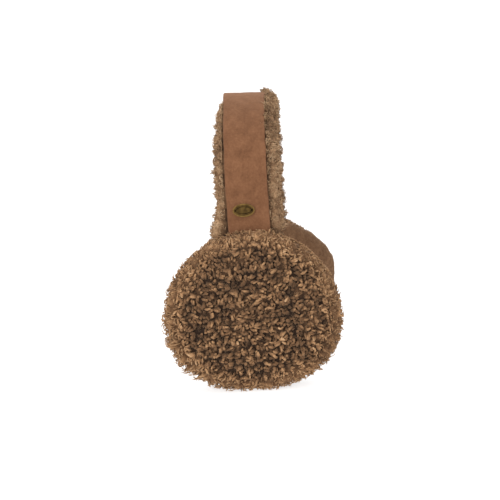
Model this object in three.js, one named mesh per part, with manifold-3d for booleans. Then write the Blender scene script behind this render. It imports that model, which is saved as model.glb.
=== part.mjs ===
// Sheepskin earmuffs: two round ear pads on a sprung headband that arches over the head.
// Each pad is a curly wool cover outside and a smooth plush cushion towards the ear.
// The headband is a folded suede strip outside and a strip of wool under it, which spills out
// along both edges. Its ends are held between the wool cover and the cushion of each pad.
// An oval metal badge sits on the suede, low on the wearer's left.
//
// Millimetres. +Z is up, +X is the wearer's left, and the wearer looks along -Y.
// The origin is on the surface that the pads stand on, midway between them.

import * as THREE from "three";
import { LoftGeometry } from "three/addons/geometries/LoftGeometry.js";
import { mergeVertices } from "three/addons/utils/BufferGeometryUtils.js";
import Module from "manifold-3d";

// Driving dimensions

const padHalfWidth = 54.8; // front to back, over the wool
const padHalfHeight = 50.5; // before the foot of the pad is pressed flat
const padSquareness = 2.1; // exponent of the pad's outline, where 2 is an ellipse
const padTaper = 0.08; // the pad is this share wider at its foot and narrower at its crown
const footPress = 1.6; // how far the wool under the pad is pressed flat
const earGap = 104; // between the plush faces of the two pads
const plushThickness = 14.7;
const plushInset = 0.8; // the plush cushion is this much smaller than the wool all round
const coverThickness = 24; // wool cover, seam to the tips of its locks
const coverWidestAt = 9; // the cover is widest this far outside the seam
const coverRoundness = 2.5; // exponent of the cover's profile, where 2 is a half ellipse
const seamRoundness = 3.5; // the same from the widest place back to the seam
const pileHeight = 3.6; // how far the locks stand out of the wool's body
const lockLean = 2.2; // how far the tips of the locks lie over to one side
const rimLockPitch = 13; // spacing of the longer locks round the pad's edge
const rimLockLength = 9.5;
const rimLockWidth = 6;
const pressedPile = 0.85; // share of the pile's height that is left, solid, under the pad

const archRise = 136; // outside of the suede above the middle of the pads
const archWidestRise = 73; // the arch is widest this far above the middle of the pads
const legSpread = 4.2; // the band's ends come in this much towards the head
const legEndRise = 13; // the band's ends stop this far above the middle of the pads

const suedeWidth = 26.5;
const suedeThickness = 2.6; // folded round a flat spring, which is not modelled
const suedeEdgeRadius = 1.1;
const suedeCrown = 0.5; // the middle of the strip stands out this much
const woolOverhang = 5.15; // beyond each edge of the suede, without its locks
const woolStripDepth = 8; // under the suede, without its locks
const woolShoulderDrop = 0.8; // the wool beside the suede lies this much under its face
const bandPileHeight = 3; // how far the locks stand out of the strip
const bandPileStart = 3; // the locks start this far above the pad's crown
const bandPileRamp = 9; // and have their full height this much further up
const bandPinch = 0.55; // share of the wool strip's depth that is left inside the pad
const bandPinchLength = 26; // the strip is pinched over this length at each end

const badgeLength = 13.4;
const badgeHeight = 8;
const badgeThickness = 1.4;
const badgeRimWidth = 0.75;
const badgeRecess = 0.4;
const badgeAbovePad = 10.5; // from the pad's crown to the middle of the badge
const badgeOffset = -2; // towards the wearer's face
const badgeHoleRadius = 0.6;
const badgeHoleInset = 2.1; // from the badge's end to the middle of the hole
const lozengeWidth = 3.6;
const lozengeHeight = 2.9;
const grooveWidth = 0.42;
const grooveDepth = 0.25;

const seamGap = 0.3; // between pieces that are sewn or pressed together
const pocketGap = 0.35; // round the band's ends inside the pads

// Counts that set how fine the facets are

const outlineFacets = 26;
const plushRings = 5;
const lockFineness = 8; // the cover's locks are about 9 to the eighth of its round
const suedeSections = 27;
const woolSections = 47;
const badgeFacets = 24;

const padMiddle = padHalfHeight - footPress; // height of the pads' middle
const seamAt = earGap / 2 + plushThickness; // distance of the seam from the middle plane
const woolStripHalfWidth = suedeWidth / 2 + woolOverhang;
const bandEndThickness = suedeThickness + seamGap + woolStripDepth * bandPinch;
const bandEndAt = seamAt + bandEndThickness * 0.45; // outside of the suede at the band's ends
const archHalfWidth = bandEndAt + legSpread; // outside of the suede

const wasm = await Module();
wasm.setup();

// A closed geometry as a solid that can be joined and cut.
function toSolid(geometry) {
  const bare = new THREE.BufferGeometry().copy(geometry);
  bare.deleteAttribute("normal");
  bare.deleteAttribute("uv");
  const merged = mergeVertices(bare, 1e-4);
  return new wasm.Manifold(
    new wasm.Mesh({
      numProp: 3,
      vertProperties: merged.attributes.position.array,
      triVerts: new Uint32Array(merged.index.array),
    }),
  );
}

// The solid back as a geometry, with flat facets.
function toGeometry(solid) {
  const mesh = solid.getMesh();
  const geometry = new THREE.BufferGeometry();
  geometry.setAttribute("position", new THREE.BufferAttribute(mesh.vertProperties, 3));
  geometry.setIndex(new THREE.BufferAttribute(mesh.triVerts, 1));
  const faceted = geometry.toNonIndexed();
  faceted.computeVertexNormals();
  return faceted;
}

// The largest body of a solid, so that a tuft that a cut has freed falls away.
function withoutLooseTufts(solid) {
  return solid.decompose().sort((a, b) => b.volume() - a.volume())[0];
}

// The same number from 0 to 1 for the same two whole numbers, so that every build is alike.
function scatter(index, channel) {
  const wave = Math.sin(index * 12.9898 + channel * 78.233) * 43758.5453;
  return wave - Math.floor(wave);
}

function signedPower(value, exponent) {
  return Math.sign(value) * Math.abs(value) ** exponent;
}

// A point of the pad's outline: y runs front to back and z up, about the pad's middle.
function padOutline(angle, halfWidth, halfHeight) {
  const across = signedPower(Math.cos(angle), 2 / padSquareness);
  const up = signedPower(Math.sin(angle), 2 / padSquareness);
  return { y: halfWidth * across * (1 - padTaper * up), z: halfHeight * up };
}

// Wool cover of a pad, in the pad's own frame: x points away from the head, from the seam

const woolHalfWidth = padHalfWidth - pileHeight;
const woolHalfHeight = padHalfHeight - pileHeight;
const woolThickness = coverThickness - pileHeight;

// The cover's profile: the share of the outline and the distance from the seam, for a turn
// from past the seam (-1) through the widest place (0) to the middle of the face (1).
function coverProfile(turn) {
  const angle = (Math.abs(turn) * Math.PI) / 2;
  const exponent = 2 / (turn < 0 ? seamRoundness : coverRoundness);
  const depth = turn < 0 ? -2 * coverWidestAt : woolThickness - coverWidestAt;
  return {
    share: Math.cos(angle) ** exponent,
    out: coverWidestAt + depth * Math.sin(angle) ** exponent,
  };
}

function coverPoint(angle, turn) {
  const profile = coverProfile(turn);
  const edge = padOutline(angle, woolHalfWidth * profile.share, woolHalfHeight * profile.share);
  return new THREE.Vector3(profile.out, edge.y, edge.z);
}

function coverNormal(angle, turn) {
  const step = 0.01;
  const along = coverPoint(angle + step, turn).sub(coverPoint(angle - step, turn));
  const inward = coverPoint(angle, turn + step).sub(coverPoint(angle, turn - step));
  return along.cross(inward).normalize();
}

// A curly lock of wool: a short four-sided tuft that leans over as it rises from z = 0.
const LOCK_RINGS = [
  { rise: -0.5, girth: 1.0, lean: -0.05 },
  { rise: 1.0, girth: 0.38, lean: 0.2 },
];
const LOCK_SIDES = 4;

function lockGeometry(length, width, height) {
  const sections = LOCK_RINGS.map((ring) => {
    const points = [];
    for (let side = 0; side < LOCK_SIDES; side++) {
      const angle = (side / LOCK_SIDES) * 2 * Math.PI;
      points.push(
        new THREE.Vector3(
          (length / 2) * (ring.girth * Math.cos(angle) + ring.lean),
          width * 0.5 * ring.girth * Math.sin(angle),
          height * ring.rise,
        ),
      );
    }
    return points;
  });
  return new LoftGeometry(sections, { capStart: true, capEnd: true });
}

// One lock set on a surface at a place, turned about the surface's normal.
function lockSolid(place, normal, spin, length, width, height) {
  const upright = new THREE.Quaternion().setFromUnitVectors(new THREE.Vector3(0, 0, 1), normal);
  const turned = new THREE.Quaternion().setFromAxisAngle(new THREE.Vector3(0, 0, 1), spin);
  const matrix = new THREE.Matrix4().compose(
    place,
    upright.multiply(turned),
    new THREE.Vector3(1, 1, 1),
  );
  return toSolid(lockGeometry(length, width, height).applyMatrix4(matrix));
}

// The wool's body, drawn out into locks all over. The tips of the locks are picked so that
// no two are neighbours, and each leans its own way. Under the pad they are pressed together.
function coverBody() {
  const ball = new THREE.IcosahedronGeometry(1, lockFineness);
  ball.deleteAttribute("normal");
  ball.deleteAttribute("uv");
  const body = mergeVertices(ball, 1e-4);
  const places = body.attributes.position;
  for (let i = 0; i < places.count; i++) {
    const turn = 1 - Math.acos(THREE.MathUtils.clamp(places.getX(i), -1, 1)) / (Math.PI / 2);
    const place = coverPoint(Math.atan2(places.getZ(i), places.getY(i)), turn);
    places.setXYZ(i, place.x, place.y, place.z);
  }
  body.computeVertexNormals();

  const neighbours = Array.from({ length: places.count }, () => new Set());
  const corners = body.index.array;
  for (let i = 0; i < corners.length; i += 3) {
    for (const [from, to] of [
      [0, 1],
      [1, 2],
      [2, 0],
    ]) {
      neighbours[corners[i + from]].add(corners[i + to]);
      neighbours[corners[i + to]].add(corners[i + from]);
    }
  }
  const isTip = new Array(places.count).fill(false);
  for (let i = 0; i < places.count; i++) {
    isTip[i] = ![...neighbours[i]].some((other) => isTip[other]);
  }

  for (let i = 0; i < places.count; i++) {
    const place = new THREE.Vector3().fromBufferAttribute(places, i);
    const normal = new THREE.Vector3().fromBufferAttribute(body.attributes.normal, i);
    const pressed = THREE.MathUtils.smoothstep(-place.z / woolHalfHeight, 0.9, 0.985);
    const lean = new THREE.Vector3(scatter(i, 1) - 0.5, scatter(i, 2) - 0.5, scatter(i, 3) - 0.5);
    lean.projectOnPlane(normal).setLength((isTip[i] ? lockLean : lockLean / 3) * (1 - pressed));
    const rise = isTip[i] ? 0.7 + 0.3 * scatter(i, 4) : -0.15 * scatter(i, 5);
    place.addScaledVector(normal, pileHeight * THREE.MathUtils.lerp(rise, pressedPile, pressed));
    place.add(lean);
    places.setXYZ(i, place.x, place.y, place.z);
  }
  return toSolid(body);
}

// Longer locks round the pad's edge, which break up its outline.
const RIM_LOCK_TURNS = [-0.2, 0.16];

function rimLocks() {
  const locks = [];
  for (const turn of RIM_LOCK_TURNS) {
    const round = Math.PI * (woolHalfWidth + woolHalfHeight) * coverProfile(turn).share;
    const count = Math.round(round / rimLockPitch);
    for (let i = 0; i < count; i++) {
      const seed = 300 + locks.length;
      const angle = ((i + 0.7 * scatter(seed, 1)) / count + turn) * 2 * Math.PI;
      const size = 0.8 + 0.35 * scatter(seed, 2);
      locks.push(
        lockSolid(
          coverPoint(angle, turn),
          coverNormal(angle, turn),
          2 * Math.PI * scatter(seed, 3),
          rimLockLength * size,
          rimLockWidth * size,
          pileHeight * (0.85 + 0.15 * scatter(seed, 4)),
        ),
      );
    }
  }
  return locks;
}

// A block that takes off everything under the surface that the pads stand on.
function belowFoot() {
  const size = 4 * padHalfWidth;
  const block = new THREE.BoxGeometry(size, size, size);
  block.translate(0, 0, -size / 2 - padMiddle);
  return toSolid(block);
}

// A block on the head's side of the seam.
function insideSeam() {
  const size = 4 * padHalfWidth;
  const block = new THREE.BoxGeometry(size, size, size);
  block.translate(seamGap / 2 - size / 2, 0, 0);
  return toSolid(block);
}

// The plush cushion of a pad, in the same frame, from the seam towards the head

function plushSolid() {
  const sections = [];
  for (let ring = 0; ring <= plushRings; ring++) {
    const angle = (ring / plushRings) * 0.92 * (Math.PI / 2);
    const share = Math.cos(angle) ** 0.62;
    const inward = plushThickness * Math.sin(angle) ** 0.9;
    const points = [];
    for (let facet = 0; facet < outlineFacets; facet++) {
      const turn = -(facet / outlineFacets) * 2 * Math.PI;
      const edge = padOutline(
        turn,
        (padHalfWidth - plushInset) * share,
        (padHalfHeight - plushInset) * share,
      );
      points.push(new THREE.Vector3(-seamGap / 2 - inward, edge.y, edge.z));
    }
    sections.push(points);
  }
  return toSolid(new LoftGeometry(sections, { capStart: true, capEnd: true }));
}

// The headband's path in the plane across the head: up one leg, over and down the other

const widestHeight = padMiddle + archWidestRise;
const legEndHeight = padMiddle + legEndRise;
const archPath = new THREE.Path();
archPath.moveTo(bandEndAt, legEndHeight);
archPath.quadraticCurveTo(
  archHalfWidth,
  (widestHeight + legEndHeight) / 2,
  archHalfWidth,
  widestHeight,
);
archPath.absellipse(0, widestHeight, archHalfWidth, archRise - archWidestRise, 0, Math.PI, false, 0);
archPath.quadraticCurveTo(
  -archHalfWidth,
  (widestHeight + legEndHeight) / 2,
  -bandEndAt,
  legEndHeight,
);
const bandLength = archPath.getLength();

// Where the path is after a length, with the direction that points away from the head.
function archFrame(along) {
  const share = THREE.MathUtils.clamp(along / bandLength, 0, 1);
  const at = archPath.getPointAt(share);
  const going = archPath.getTangentAt(share);
  return {
    at: new THREE.Vector3(at.x, 0, at.y),
    out: new THREE.Vector3(going.y, 0, -going.x),
  };
}

// A point beside the path: y across the band and lift away from the head.
function bandPoint(frame, y, lift) {
  return frame.at.clone().addScaledVector(frame.out, lift).add(new THREE.Vector3(0, y, 0));
}

// A section of the suede strip with rounded edges, made larger all round by grow.
function suedeSection(grow) {
  const half = suedeWidth / 2 + grow;
  const radius = suedeEdgeRadius + grow;
  const top = grow;
  const bottom = -suedeThickness - grow;
  const diagonal = radius * (1 - Math.SQRT1_2);
  const right = [
    { y: 0, lift: top + suedeCrown },
    { y: half - radius, lift: top },
    { y: half - diagonal, lift: top - diagonal },
    { y: half, lift: top - radius },
    { y: half, lift: bottom + radius },
    { y: half - radius, lift: bottom },
  ];
  const left = right.slice(1).map((p) => ({ y: -p.y, lift: p.lift }));
  return [...right, ...left.reverse()];
}

// The first corner of the wool section that is not beside or under the suede.
const WOOL_SHOULDER = 3;

// A section of the wool strip: its shoulders hug the suede's edges. keep is the share of its
// depth and of its shoulders that is left, and grow makes it larger all round.
function woolSection(keep, grow) {
  const underSuede = -suedeThickness - seamGap + grow;
  const besideSuede = suedeWidth / 2 + seamGap - grow;
  const half = besideSuede + (woolStripHalfWidth - besideSuede) * keep + grow;
  const shoulder = THREE.MathUtils.lerp(-suedeThickness / 2, -woolShoulderDrop, keep) + grow;
  const bottom = -suedeThickness - seamGap - woolStripDepth * keep - grow;
  const right = [
    { y: 0, lift: underSuede },
    { y: besideSuede, lift: underSuede },
    { y: THREE.MathUtils.lerp(besideSuede, half, 0.12), lift: shoulder - 0.06 * woolStripDepth },
    { y: THREE.MathUtils.lerp(besideSuede, half, 0.45), lift: shoulder },
    { y: THREE.MathUtils.lerp(besideSuede, half, 0.86), lift: shoulder - 0.16 * woolStripDepth },
    { y: half, lift: THREE.MathUtils.lerp(shoulder, bottom, 0.48) },
    { y: half * 0.9, lift: THREE.MathUtils.lerp(shoulder, bottom, 0.84) },
    { y: half * 0.55, lift: bottom },
  ];
  const left = right.slice(1).map((p) => ({ y: -p.y, lift: p.lift }));
  return [...right, ...left.reverse()];
}

// The share of the wool strip's depth at a length along the band: pinched inside the pads.
function woolKeep(along) {
  const fromEnd = Math.min(along, bandLength - along);
  return THREE.MathUtils.lerp(bandPinch, 1, THREE.MathUtils.smoothstep(fromEnd, 0, bandPinchLength));
}

// A sweep of a section along the band.
function bandSweep(count, sectionAt) {
  const sections = [];
  for (let i = 0; i < count; i++) {
    const along = (i / (count - 1)) * bandLength;
    const frame = archFrame(along);
    sections.push(sectionAt(along, i).map((p) => bandPoint(frame, p.y, p.lift)));
  }
  return toSolid(new LoftGeometry(sections, { capStart: true, capEnd: true }));
}

// A section of the wool strip whose outer points are drawn out into locks, every other one
// along the section and along the band.
function lockedSection(along, index) {
  const section = woolSection(woolKeep(along), 0);
  const fromEnd = Math.min(along, bandLength - along);
  const padTop = padHalfHeight - legEndRise;
  const locksFrom = padTop + bandPileStart;
  const pile =
    bandPileHeight * THREE.MathUtils.smoothstep(fromEnd, locksFrom, locksFrom + bandPileRamp);
  const middle = -suedeThickness - seamGap - woolStripDepth / 2;
  return section.map((p, corner) => {
    const isOuter = corner >= WOOL_SHOULDER && corner <= section.length - WOOL_SHOULDER;
    const seed = 900 + 20 * index + corner;
    if (!isOuter) {
      return p;
    }
    const isTip = (index + corner) % 2 === 0;
    const rise = pile * (isTip ? 0.6 + 0.4 * scatter(seed, 1) : -0.2 * scatter(seed, 2));
    const away = new THREE.Vector2(p.y, p.lift - middle);
    away.x /= woolStripHalfWidth;
    away.y /= woolStripDepth;
    away.normalize();
    return { y: p.y + away.x * rise, lift: p.lift + away.y * rise };
  });
}

const suedeStrip = bandSweep(suedeSections, () => suedeSection(0));

// The suede strip, a little larger, keeps the wool off it.
const suedeRoom = bandSweep(suedeSections, () => suedeSection(seamGap));
const woolStrip = withoutLooseTufts(bandSweep(woolSections, lockedSection).subtract(suedeRoom));

// Room in the pads for the band, a little larger than the strips and a little longer.
function bandPocket() {
  return wasm.Manifold.union([
    bandSweep(suedeSections, () => suedeSection(pocketGap)),
    bandSweep(woolSections, (along) => woolSection(woolKeep(along), pocketGap)),
    belowBandEnd(),
  ]);
}

// A thin block past the band's end, so that the end has room too.
function belowBandEnd() {
  const end = archFrame(0);
  const reach = woolSection(bandPinch, pocketGap);
  const half = Math.max(...reach.map((p) => p.y));
  const bottom = Math.min(...reach.map((p) => p.lift));
  const corners = [
    [-half, pocketGap + suedeCrown],
    [half, pocketGap + suedeCrown],
    [half, bottom],
    [-half, bottom],
  ];
  const upLeg = new THREE.Vector3(-end.out.z, 0, end.out.x);
  const sections = [-pocketGap, pocketGap].map((past) =>
    corners.map(([y, lift]) => bandPoint(end, y, lift).addScaledVector(upLeg, past)),
  );
  return toSolid(new LoftGeometry(sections, { capStart: true, capEnd: true }));
}

// A pad's solids in the pad's own frame, with room for the band cut out.
const pocket = bandPocket().translate([-seamAt, 0, -padMiddle]);
const coverSolid = withoutLooseTufts(
  wasm.Manifold.union([coverBody(), ...rimLocks()])
    .subtract(insideSeam())
    .subtract(belowFoot())
    .subtract(pocket),
);
const cushionSolid = plushSolid().subtract(belowFoot()).subtract(pocket);

// The badge, in its own frame: z points out of the suede, x along the badge

function ovalShape(halfLength, halfHeight) {
  const shape = new THREE.Shape();
  shape.absellipse(0, 0, halfLength, halfHeight, 0, 2 * Math.PI, false, 0);
  return shape;
}

function prism(shape, from, to, facets = badgeFacets / 2) {
  const geometry = new THREE.ExtrudeGeometry(shape, {
    depth: to - from,
    bevelEnabled: false,
    curveSegments: facets,
  });
  geometry.translate(0, 0, from);
  return toSolid(geometry);
}

function lozengeShape(width, height) {
  const shape = new THREE.Shape();
  shape.moveTo(width / 2, 0);
  shape.lineTo(0, height / 2);
  shape.lineTo(-width / 2, 0);
  shape.lineTo(0, -height / 2);
  shape.closePath();
  return shape;
}

function badgeSolid() {
  const halfLength = badgeLength / 2;
  const halfHeight = badgeHeight / 2;
  const floor = badgeThickness - badgeRecess;
  const chamfer = badgeRimWidth * 0.4;
  const plate = prism(ovalShape(halfLength, halfHeight), 0, badgeThickness - chamfer);
  const crown = prism(ovalShape(halfLength - chamfer, halfHeight - chamfer), 0, badgeThickness);
  const recess = prism(
    ovalShape(halfLength - badgeRimWidth, halfHeight - badgeRimWidth),
    floor,
    badgeThickness * 2,
  );
  const groove = prism(lozengeShape(lozengeWidth, lozengeHeight), floor - grooveDepth, floor * 2)
    .subtract(
      prism(
        lozengeShape(
          lozengeWidth - 2 * grooveWidth * Math.SQRT2,
          lozengeHeight - 2 * grooveWidth * Math.SQRT2,
        ),
        0,
        badgeThickness * 2,
      ),
    );
  let badge = plate.add(crown).subtract(recess).subtract(groove);
  for (const end of [-1, 1]) {
    const hole = new THREE.CylinderGeometry(
      badgeHoleRadius,
      badgeHoleRadius,
      4 * badgeThickness,
      12,
    );
    hole.rotateX(Math.PI / 2);
    hole.translate(end * (halfLength - badgeHoleInset), 0, 0);
    badge = badge.subtract(toSolid(hole));
  }
  return badge;
}

// The length along the band at which the wearer's left leg is at a height.
function alongAtHeight(height) {
  let low = 0;
  let high = bandLength / 2;
  for (let i = 0; i < 40; i++) {
    const middle = (low + high) / 2;
    if (archFrame(middle).at.z < height) {
      low = middle;
    } else {
      high = middle;
    }
  }
  return low;
}

// Materials

const suedeBrown = new THREE.MeshStandardMaterial({ color: 0x8b6246, roughness: 0.95 });
const woolBrown = new THREE.MeshStandardMaterial({ color: 0x86684b, roughness: 1.0 });
const plushBrown = new THREE.MeshStandardMaterial({ color: 0x785d47, roughness: 1.0 });
const agedBrass = new THREE.MeshStandardMaterial({
  color: 0x6b5526,
  roughness: 0.45,
  metalness: 0.9,
});

function named(name, geometry, material) {
  const mesh = new THREE.Mesh(geometry, material);
  mesh.name = name;
  return mesh;
}

const earmuffs = new THREE.Group();
earmuffs.add(named("headband_suede_strip", toGeometry(suedeStrip), suedeBrown));
earmuffs.add(named("headband_wool_strip", toGeometry(woolStrip), woolBrown));

const coverGeometry = toGeometry(coverSolid);
const cushionGeometry = toGeometry(cushionSolid);
for (const side of [
  { name: "left", sign: 1 },
  { name: "right", sign: -1 },
]) {
  const pad = new THREE.Group();
  pad.add(named(`${side.name}_pad_wool_cover`, coverGeometry, woolBrown));
  pad.add(named(`${side.name}_pad_plush_cushion`, cushionGeometry, plushBrown));
  pad.position.set(side.sign * seamAt, 0, padMiddle);
  pad.scale.x = side.sign;
  earmuffs.add(pad);
}

const badge = named("badge_plate", toGeometry(badgeSolid()), agedBrass);
const badgeFrame = archFrame(alongAtHeight(padMiddle + padHalfHeight + badgeAbovePad));
badge.position.copy(bandPoint(badgeFrame, badgeOffset, suedeCrown + seamGap));
const badgeUp = new THREE.Vector3().crossVectors(badgeFrame.out, new THREE.Vector3(0, 1, 0));
badge.quaternion.setFromRotationMatrix(
  new THREE.Matrix4().makeBasis(new THREE.Vector3(0, 1, 0), badgeUp, badgeFrame.out),
);
earmuffs.add(badge);

export default earmuffs;
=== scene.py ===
"""Sheepskin earmuffs: two curly wool pads with plush cushions, held by a sprung suede headband.

Metres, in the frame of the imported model: +Z is up, +X is the wearer's left and the wearer
looks along -Y.
"""

import math

import bpy
import numpy as np
from mathutils import Matrix, Vector


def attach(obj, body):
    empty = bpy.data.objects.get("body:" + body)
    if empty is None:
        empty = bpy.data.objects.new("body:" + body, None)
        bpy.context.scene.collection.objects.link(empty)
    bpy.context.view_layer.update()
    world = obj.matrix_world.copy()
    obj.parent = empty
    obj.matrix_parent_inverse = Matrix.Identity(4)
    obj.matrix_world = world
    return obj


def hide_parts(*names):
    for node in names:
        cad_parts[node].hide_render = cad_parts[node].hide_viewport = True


MM = 0.001

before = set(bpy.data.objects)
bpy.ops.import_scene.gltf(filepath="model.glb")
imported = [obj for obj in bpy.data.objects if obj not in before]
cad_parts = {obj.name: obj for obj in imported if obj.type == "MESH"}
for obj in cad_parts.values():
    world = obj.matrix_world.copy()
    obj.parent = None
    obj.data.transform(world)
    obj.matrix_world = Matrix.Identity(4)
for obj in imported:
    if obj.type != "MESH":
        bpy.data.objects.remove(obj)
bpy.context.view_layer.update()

# The sizes that the solids have, in millimetres

PAD_HALF_WIDTH = 54.8
PAD_HALF_HEIGHT = 50.5
PAD_SQUARENESS = 2.1
PAD_TAPER = 0.08
PAD_MIDDLE = 48.9
PILE_HEIGHT = 3.6
WOOL_HALF_WIDTH = PAD_HALF_WIDTH - PILE_HEIGHT
WOOL_HALF_HEIGHT = PAD_HALF_HEIGHT - PILE_HEIGHT
COVER_WIDEST_AT = 9.0
COVER_ROUNDNESS = 2.5
SEAM_ROUNDNESS = 3.5
WOOL_THICKNESS = 20.4
SEAM_AT = 66.7

SUEDE_WIDTH = 26.5
SUEDE_THICKNESS = 2.6
SUEDE_CROWN = 0.5
SEAM_GAP = 0.3
WOOL_STRIP_HALF_WIDTH = 18.4

BAND_END_AT = 69.985
ARCH_HALF_WIDTH = 74.185
ARCH_RISE = 136.0
ARCH_WIDEST_RISE = 73.0
LEG_END_RISE = 13.0

BADGE_LENGTH = 13.4
BADGE_HEIGHT = 8.0
BADGE_THICKNESS = 1.4
BADGE_RISE = 61.0
BADGE_OFFSET = -2.0

# The lowest that wool may hang over the floor
LOCK_FLOOR = 0.1

rng = np.random.default_rng(20417)


# ---- materials


def linear(red, green, blue):
    """A colour read as 0 to 255 on screen, as the shader wants it."""
    channels = []
    for value in (red, green, blue):
        value /= 255
        channels.append(value / 12.92 if value <= 0.04045 else ((value + 0.055) / 1.055) ** 2.4)
    return (*channels, 1.0)


class Socket:
    """A number that changes over the surface, with its arithmetic."""

    def __init__(self, finish, link):
        self.finish = finish
        self.link = link

    def _with(self, operation, other, swapped=False):
        values = [other, self] if swapped else [self, other]
        return self.finish.node("ShaderNodeMath", {"operation": operation}, *values)

    def __add__(self, other):
        return self._with("ADD", other)

    __radd__ = __add__

    def __sub__(self, other):
        return self._with("SUBTRACT", other)

    def __rsub__(self, other):
        return self._with("SUBTRACT", other, swapped=True)

    def __mul__(self, other):
        return self._with("MULTIPLY", other)


class Finish:
    """A material with one Principled shader, and the nodes that feed it."""

    def __init__(self, name, **constants):
        self.material = bpy.data.materials.new(name)
        self.material.use_nodes = True
        self.tree = self.material.node_tree
        self.shader = self.tree.nodes["Principled BSDF"]
        for socket, value in constants.items():
            self.shader.inputs[socket.replace("_", " ")].default_value = value

    def plug(self, value, socket):
        if isinstance(value, Socket):
            self.tree.links.new(value.link, socket)
        else:
            socket.default_value = value

    def node(self, kind, settings, *values, output=0, **named):
        made = self.tree.nodes.new(kind)
        for key, value in settings.items():
            setattr(made, key, value)
        for key, value in [*enumerate(values), *named.items()]:
            self.plug(value, made.inputs[key])
        return Socket(self, made.outputs[output])

    def place(self):
        """Object coordinates, in metres."""
        return self.node("ShaderNodeTexCoord", {}, output="Object")

    def noise(self, place, per_metre, detail=3.0, roughness=0.5, distortion=0.0):
        look = {"Detail": detail, "Roughness": roughness, "Distortion": distortion}
        return self.node("ShaderNodeTexNoise", {}, Vector=place, Scale=per_metre, **look)

    def ramp(self, value, *stops):
        """Colours at their places along value, blended in between."""
        made = self.node("ShaderNodeValToRGB", {}, value)
        elements = made.link.node.color_ramp.elements
        while len(elements) < len(stops):
            elements.new(0.5)
        for element, (place, colour) in zip(elements, stops):
            element.position, element.color = place, colour
        return made

    def mix(self, share, first, second):
        """Colours, from first where share is 0 to second where it is 1."""
        made = self.tree.nodes.new("ShaderNodeMix")
        made.data_type = "RGBA"
        for index, value in ((0, share), (6, first), (7, second)):
            self.plug(value, made.inputs[index])
        return Socket(self, made.outputs[2])

    def channel(self, colour, index):
        return self.node("ShaderNodeSeparateColor", {}, colour, output=index)

    def attribute(self, name):
        return self.node("ShaderNodeAttribute", {"attribute_name": name}, output="Color")

    def bump(self, height, distance, strength):
        look = {"Strength": strength, "Distance": distance, "Height": height}
        self.feed("Normal", self.node("ShaderNodeBump", {}, **look))

    def feed(self, socket, value):
        self.plug(value, self.shader.inputs[socket])


def wool_finish(name, root, middle, tip, pale_tip):
    """Curly wool: dark at the roots and bleached at the tips, no two locks quite alike; where the
    wool is soft it is painted paler and flatter, which on the pads' rims is painted sheen.
    """
    finish = Finish(
        name,
        Roughness=0.85,
        Sheen_Weight=0.45,
        Sheen_Roughness=0.5,
        Sheen_Tint=linear(214, 178, 142),
        Specular_IOR_Level=0.2,
    )
    lock = finish.attribute("lock")
    along = finish.channel(lock, 0)
    shade = finish.channel(lock, 1)
    soft = finish.channel(lock, 2)
    place = finish.place()
    patch = finish.noise(place, 70, detail=2.0)
    # Painted sheen: soft wool is lifted paler and flatter, standing for grazing light on the pads'
    # rims
    depth = along * (0.9 - soft * 0.28) + soft * 0.27 - 0.02
    depth = depth + (shade - 0.5) * 0.3 + (patch - 0.5) * 0.6
    colours = [linear(*colour) for colour in (root, middle, tip, pale_tip)]
    colour = finish.ramp(depth, *zip((0.0, 0.38, 0.7, 1.0), colours))
    fibre = finish.noise(place, 4200, detail=1.0)
    wisp = finish.noise(place, 1300, detail=2.0)
    finish.feed("Base Color", finish.mix(fibre * 0.2 + wisp * 0.25, colour, linear(62, 42, 27)))
    finish.bump(fibre * 0.4 + wisp * 0.6, 0.00025, 0.8)
    return finish.material


def napped_finish(name, noises, shares, stops, bump, **constants):
    """Cloth with a nap: brushed patches, a coarse nap over them and a fine one over that."""
    finish = Finish(name, **constants)
    place = finish.place()
    brushed, coarse, fine = (finish.noise(place, **noise) for noise in noises)
    tone = brushed * shares[0] + coarse * shares[1] + fine * shares[2]
    finish.feed("Base Color", finish.ramp(tone, *stops))
    finish.bump(coarse * 0.5 + fine * 0.5, *bump)
    return finish, coarse


def plush_finish():
    """Short, dense plush, brushed into soft patches."""
    finish, _ = napped_finish(
        "brown_plush",
        [
            {"per_metre": 95, "detail": 3.0, "distortion": 0.6},
            {"per_metre": 520, "detail": 2.0},
            {"per_metre": 2400, "detail": 2.0},
        ],
        (0.4, 0.3, 0.3),
        [(0.3, linear(70, 48, 32)), (0.5, linear(100, 72, 50)), (0.7, linear(134, 101, 74))],
        (0.0009, 1.0),
        Roughness=0.92,
        Sheen_Weight=0.7,
        Sheen_Roughness=0.4,
        Sheen_Tint=linear(205, 172, 140),
        Specular_IOR_Level=0.2,
    )
    return finish.material


def suede_finish():
    """Reddish-brown suede: a nap brushed both ways, over a fine grain."""
    finish, nap = napped_finish(
        "brown_suede",
        [
            {"per_metre": 120, "detail": 4.0, "roughness": 0.55, "distortion": 0.4},
            {"per_metre": 700, "detail": 3.0, "roughness": 0.6},
            {"per_metre": 4200, "detail": 2.0},
        ],
        (0.45, 0.35, 0.2),
        [(0.28, linear(84, 53, 33)), (0.5, linear(109, 73, 49)), (0.72, linear(131, 91, 64))],
        (0.00035, 0.7),
        Sheen_Weight=0.3,
        Sheen_Roughness=0.45,
        Sheen_Tint=linear(214, 170, 138),
        Specular_IOR_Level=0.18,
    )
    finish.feed("Roughness", 0.82 + nap * 0.16)
    return finish.material


def brass_finish(name, bright, dull, roughness, tarnish_share):
    """Aged brass: bright where it is handled, brown where dirt stays."""
    finish = Finish(name, Metallic=1.0)
    place = finish.place()
    cloud = finish.noise(place, 480, detail=4.0, roughness=0.6)
    speck = finish.noise(place, 2600, detail=2.0)
    stops = [(tarnish_share, (0, 0, 0, 1)), (tarnish_share + 0.25, (1, 1, 1, 1))]
    share = finish.channel(finish.ramp(cloud * 0.6 + speck * 0.4, *stops), 0)
    finish.feed("Base Color", finish.mix(share, linear(*bright), linear(*dull)))
    finish.feed("Roughness", roughness + share * 0.2)
    finish.bump(speck, 0.00006, 0.5)
    return finish.material


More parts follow.
